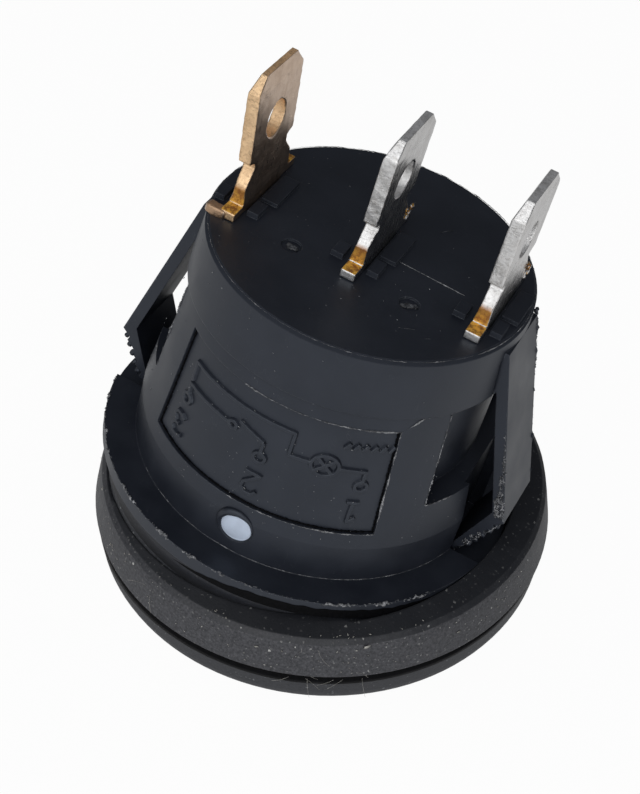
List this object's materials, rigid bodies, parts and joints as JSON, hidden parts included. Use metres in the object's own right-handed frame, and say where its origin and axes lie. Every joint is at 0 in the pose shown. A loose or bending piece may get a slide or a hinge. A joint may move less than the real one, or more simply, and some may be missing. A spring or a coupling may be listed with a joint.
{
  "type": "round snap-in panel rocker switch",
  "caption": "Round illuminated rocker switch that snaps into a 20 mm panel hole, with push-on tabs behind and a crooked rubber ring under its flange",
  "frame": {"origin": "on the barrel's axis, at the rear face of the flange, where the panel's front face sits", "axes": "+Z runs along the barrel from the panel toward the tabs, X runs along the row of tabs from the lamp tab to the load tab, and the label panel and one pivot pin face -Y"},
  "size_m": [0.0258, 0.0256, 0.03],
  "materials": {
    "housing": "smooth moulded black nylon with a fine satin sheen",
    "sealing_ring": "matte grey-black rubber, dusty and linty",
    "front_bezel": "smooth satin-black plastic",
    "rocker_cap": "translucent red polycarbonate",
    "rocker_carrier": "white moulded nylon",
    "plunger": "turned brass",
    "plunger_spring": "drawn spring wire",
    "contact_lever": "stamped copper alloy",
    "moving_contact": "silver contact rivet",
    "fixed_contact": "silver contact rivet",
    "lamp_terminal": "plain stamped brass with sheared edges",
    "common_terminal": "tin-plated copper, scratched along the edges",
    "load_terminal": "tin-plated copper, scratched along the edges",
    "lamp_bulb": "small neon lamp, clear glass",
    "lamp_resistor": "lacquered film resistor",
    "lamp_link": "tinned copper wire",
    "lamp_lead_a": "tinned copper wire",
    "lamp_lead_b": "tinned copper wire",
    "lamp_contact_a": "thin spring brass",
    "lamp_contact_b": "thin spring brass"
  },
  "bodies": {
    "body": {"housing": "housing", "sealing_ring": "sealing_ring", "front_bezel": "front_bezel", "fixed_contact": "fixed_contact", "lamp_terminal": "lamp_terminal", "common_terminal": "common_terminal", "load_terminal": "load_terminal", "lamp_contact_a": "lamp_contact_a", "lamp_contact_b": "lamp_contact_b"},
    "rocker": {"rocker_cap": "rocker_cap", "rocker_carrier": "rocker_carrier", "plunger_spring": "plunger_spring", "lamp_bulb": "lamp_bulb", "lamp_resistor": "lamp_resistor", "lamp_link": "lamp_link", "lamp_lead_a": "lamp_lead_a", "lamp_lead_b": "lamp_lead_b"},
    "plunger": {"plunger": "plunger"},
    "contact_lever": {"contact_lever": "contact_lever", "moving_contact": "moving_contact"}
  },
  "joints": [
    {"name": "rocker_pivot", "type": "hinge", "parent": "body", "child": "rocker", "pos_m": [0, 0, 0.00175], "axis": [0, 1, 0], "range_deg": [0, 18]},
    {"name": "lever_rock", "type": "hinge", "parent": "body", "child": "contact_lever", "pos_m": [0, 0, 0.00985], "axis": [0, 1, 0], "range_deg": [-12.1, 0.1]},
    {"name": "plunger_slide", "type": "slide", "parent": "rocker", "child": "plunger", "axis": [0.1564, 0, -0.9877], "range_m": [0, 0.0005], "stiffness_N_per_m": 150, "springref_m": -0.001, "deforming": ["plunger_spring"]}
  ],
  "couplings": [
    {"joint": "lever_rock", "follows": "rocker_pivot", "ratio": -0.66667}
  ]
}
